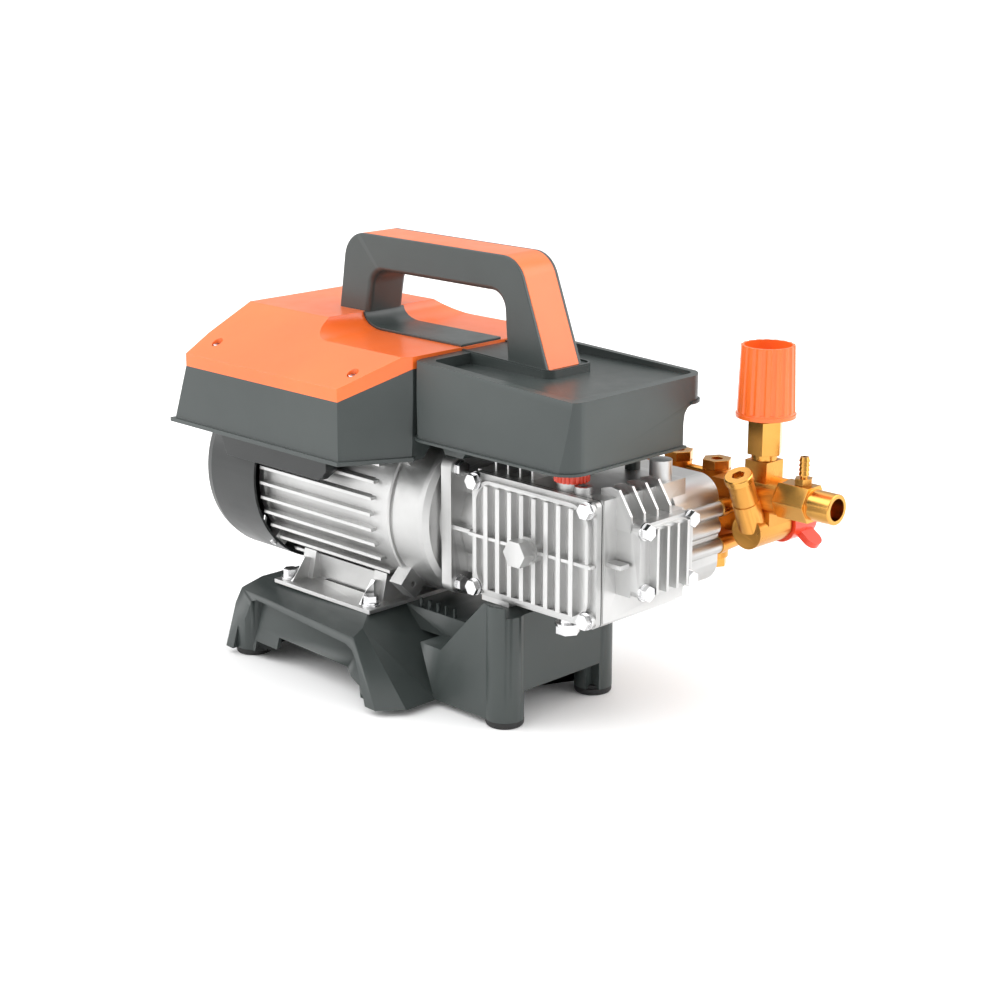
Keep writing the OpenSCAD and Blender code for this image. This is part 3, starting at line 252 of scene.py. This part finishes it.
def make_materials():
    return {
        "dark_plastic": plastic("dark_plastic", (0.031, 0.039, 0.038), (0.04, 0.049, 0.047),
                                (0.3, 0.4), 2200, 0.08),
        "frame_plastic": plastic("frame_plastic", (0.025, 0.032, 0.031), (0.033, 0.041, 0.039),
                                 (0.3, 0.42), 2000, 0.09),
        "black_plastic": plastic("black_plastic", (0.012, 0.014, 0.014), (0.02, 0.022, 0.022),
                                 (0.3, 0.4)),
        "orange_plastic": plastic("orange_plastic", (0.8, 0.125, 0.014), (0.88, 0.155, 0.02),
                                  (0.3, 0.38), 1500, 0.03, 0.3, 0.15),
        "red_plastic": plastic("red_plastic", (0.7, 0.04, 0.01), (0.78, 0.055, 0.016),
                               (0.28, 0.36), 1500, 0.03, 0.3, 0.15),
        "cast_aluminium": metal("cast_aluminium", (0.46, 0.46, 0.455), (0.6, 0.6, 0.595),
                                (0.34, 0.5), 1100, 0.18, 160, 0.1),
        "zinc_steel": metal("zinc_steel", (0.6, 0.6, 0.6), (0.74, 0.74, 0.75), (0.14, 0.24),
                            1500, 0.03, 200, 0.02),
        "ground_steel": metal("ground_steel", (0.5, 0.51, 0.52), (0.62, 0.63, 0.64), (0.22, 0.34)),
        "lamination": metal("lamination", (0.24, 0.24, 0.25), (0.34, 0.34, 0.35), (0.4, 0.55)),
        "copper": metal("copper", (0.6, 0.25, 0.1), (0.72, 0.33, 0.14), (0.3, 0.45)),
        "bronze": metal("bronze", (0.5, 0.34, 0.16), (0.62, 0.44, 0.22), (0.3, 0.42)),
        "ceramic": plastic("ceramic", (0.82, 0.8, 0.74), (0.88, 0.86, 0.8), (0.15, 0.25)),
        "brass": metal("brass", (0.54, 0.245, 0.05), (0.7, 0.34, 0.08), (0.26, 0.4),
                       1200, 0.14, 150, 0.12),
        "brass_turned": metal("brass_turned", (0.62, 0.3, 0.065), (0.76, 0.4, 0.1), (0.18, 0.28),
                              1800, 0.04, 260, 0.02),
        "rubber": plastic("rubber", (0.008, 0.008, 0.008), (0.014, 0.014, 0.014), (0.5, 0.65)),
        "seal_rubber": plastic("seal_rubber", (0.1, 0.02, 0.015), (0.13, 0.03, 0.02), (0.5, 0.6)),
        "can": metal("can", (0.62, 0.63, 0.64), (0.74, 0.75, 0.76), (0.2, 0.3)),
    }


# ------------------------------------------------------------------ CAD nodes
def soften(piece, width, segments=3, angle=28):
    """Rounds the edges of a shape with modifiers; its own mesh stays as it is."""
    for face in piece.data.polygons:
        face.use_smooth = True
    if not width:
        piece.data.set_sharp_from_angle(angle=math.radians(angle))
        return
    weld = piece.modifiers.new("weld", "WELD")
    weld.merge_threshold = 0.00002
    flat = piece.modifiers.new("flat", "DECIMATE")
    flat.decimate_type = "DISSOLVE"
    flat.angle_limit = math.radians(0.6)
    bevel = piece.modifiers.new("bevel", "BEVEL")
    bevel.width = width * MM
    bevel.segments = segments
    bevel.limit_method = "ANGLE"
    bevel.angle_limit = math.radians(angle)
    bevel.miter_outer = "MITER_ARC"
    normals = piece.modifiers.new("normals", "WEIGHTED_NORMAL")
    normals.keep_sharp = True


# Widths of the rounded edges in millimetres; 0 leaves a finely pierced sheet as it is.
SOFT_EDGES = {
    "base_frame": 1.6, "electrical_case": 1.2, "case_cover": 1.3, "pump_cover": 1.4,
    "handle_band": 0.9, "saddle_strip": 0.5, "fan_cowl": 0,
    "crankcase": 1.3, "crankcase_cover": 0.9, "end_cover": 0.8, "front_end_bell": 0.8,
    "motor_housing": 0.6, "foot_bracket": 1.0, "rear_end_bell": 0.8, "pump_head": 1.4,
    "unloader_body": 0.8, "rubber_feet": 0.7, "inlet_wing_nut": 1.2, "pressure_knob": 0.7,
}
SMALL_EDGE = 0.35       # every other node


def dress_nodes(materials):
    slot_of = {s["node"]: s["material_slot"] for s in frame["record"]["subparts"]}
    for name, piece in nodes.items():
        piece.data.materials.clear()
        piece.data.materials.append(materials[slot_of[name]])
        soften(piece, SOFT_EDGES.get(name, SMALL_EDGE))


# ------------------------------------------------------------------ modelled pieces
def rounded_path(corners, radius, steps):
    """A flat path whose inner corners are arcs, each with the same number of points."""
    corners = [Vector(corner) for corner in corners]
    path = [corners[0]]
    for before, corner, after in zip(corners, corners[1:], corners[2:]):
        a, b = (before - corner).normalized(), (after - corner).normalized()
        half = a.angle(b) / 2
        centre = corner + (a + b).normalized() * radius / math.sin(half)
        reach = radius / math.tan(half)
        start, end = corner + a * reach - centre, corner + b * reach - centre
        for i in range(steps + 1):
            turned = start.lerp(end, i / steps).normalized() * radius
            path.append(centre + turned)
    path.append(corners[-1])
    return path


def finish_piece(name, mesh, material, body, slot, *replaced):
    """Puts a new mesh on its CAD body, in place of the nodes that it stands for."""
    mesh.materials.append(material)
    for face in mesh.polygons:
        face.use_smooth = True
    mesh.set_sharp_from_angle(angle=math.radians(32))
    piece = bpy.data.objects.new(name, mesh)
    bpy.context.scene.collection.objects.link(piece)
    normals = piece.modifiers.new("normals", "WEIGHTED_NORMAL")
    normals.keep_sharp = True
    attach(piece, body)
    if replaced:
        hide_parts(*replaced)


def loft(name, rings):
    """A closed solid through rings that all have the same number of points."""
    shape = bmesh.new()
    layers = [[shape.verts.new(point) for point in ring] for ring in rings]
    count = len(rings[0])
    for low, high in zip(layers, layers[1:]):
        for i in range(count):
            j = (i + 1) % count
            shape.faces.new((low[i], low[j], high[j], high[i]))
    shape.faces.new(layers[0][::-1])
    shape.faces.new(layers[-1])
    bmesh.ops.recalc_face_normals(shape, faces=shape.faces)
    mesh = bpy.data.meshes.new(name)
    shape.to_mesh(mesh)
    shape.free()
    return mesh


# The handle's outer and inner outline in (x, z), from the case cover to the pump cover.
HANDLE_OUTER = [(-99.3, 272.6), (-90.0, 331.5), (88.0, 331.5), (116.9, 255.1)]
HANDLE_INNER = [(-67.5, 272.6), (-61.5, 305.0), (74.3, 305.0), (77.0, 256.8)]
HANDLE_RADII = (22.0, 14.0)
HANDLE_HALF = 18.0
SLOT_HALF = 15.4
SLOT_DEPTH = 3.05
SLOT_START_X = -79.0
NO_SLOT = 0.01
RIM_RADIUS = 0.9
RIM_START = 0.27
INNER_RADIUS = 4.6
RIM_STEPS = 4
INNER_STEPS = 8
CORNER_STEPS = 20


def handle_section(outer, inner, depth):
    """One ring across the grip: a shallow slot outside, well rounded edges inside."""
    across = inner - outer
    thick = across.length
    across.normalize()
    rim = RIM_START if depth > NO_SLOT else 0.0
    half = [(depth, 0.0), (depth, SLOT_HALF), (rim, SLOT_HALF)]
    for i in range(RIM_STEPS + 1):
        turn = math.pi / 2 * i / RIM_STEPS
        half.append((RIM_RADIUS * (1 - math.cos(turn)),
                     HANDLE_HALF - RIM_RADIUS * (1 - math.sin(turn))))
    for i in range(INNER_STEPS + 1):
        turn = math.pi / 2 * i / INNER_STEPS
        half.append((thick - INNER_RADIUS * (1 - math.sin(turn)),
                     HANDLE_HALF - INNER_RADIUS * (1 - math.cos(turn))))
    ring = half + [(u, -v) for u, v in reversed(half) if v > 0]
    return [at(outer.x + across.x * u, v, outer.y + across.y * u) for u, v in ring]


def make_handle(material):
    outer = rounded_path(HANDLE_OUTER, HANDLE_RADII[0], CORNER_STEPS)
    inner = rounded_path(HANDLE_INNER, HANDLE_RADII[1], CORNER_STEPS)
    rings, slotted = [], False
    for a, b in zip(outer, inner):
        if not slotted and a.x > SLOT_START_X:
            rings.append(handle_section(a, b, NO_SLOT))
            slotted = True
        rings.append(handle_section(a, b, SLOT_DEPTH if slotted else NO_SLOT))
    finish_piece("handle_shell", loft("handle_shell", rings), material, "machine",
                 "dark_plastic", "handle_grip")


make_camera()
make_floor()
make_backdrop()
make_light()
materials = make_materials()
dress_nodes(materials)
make_handle(materials["dark_plastic"])
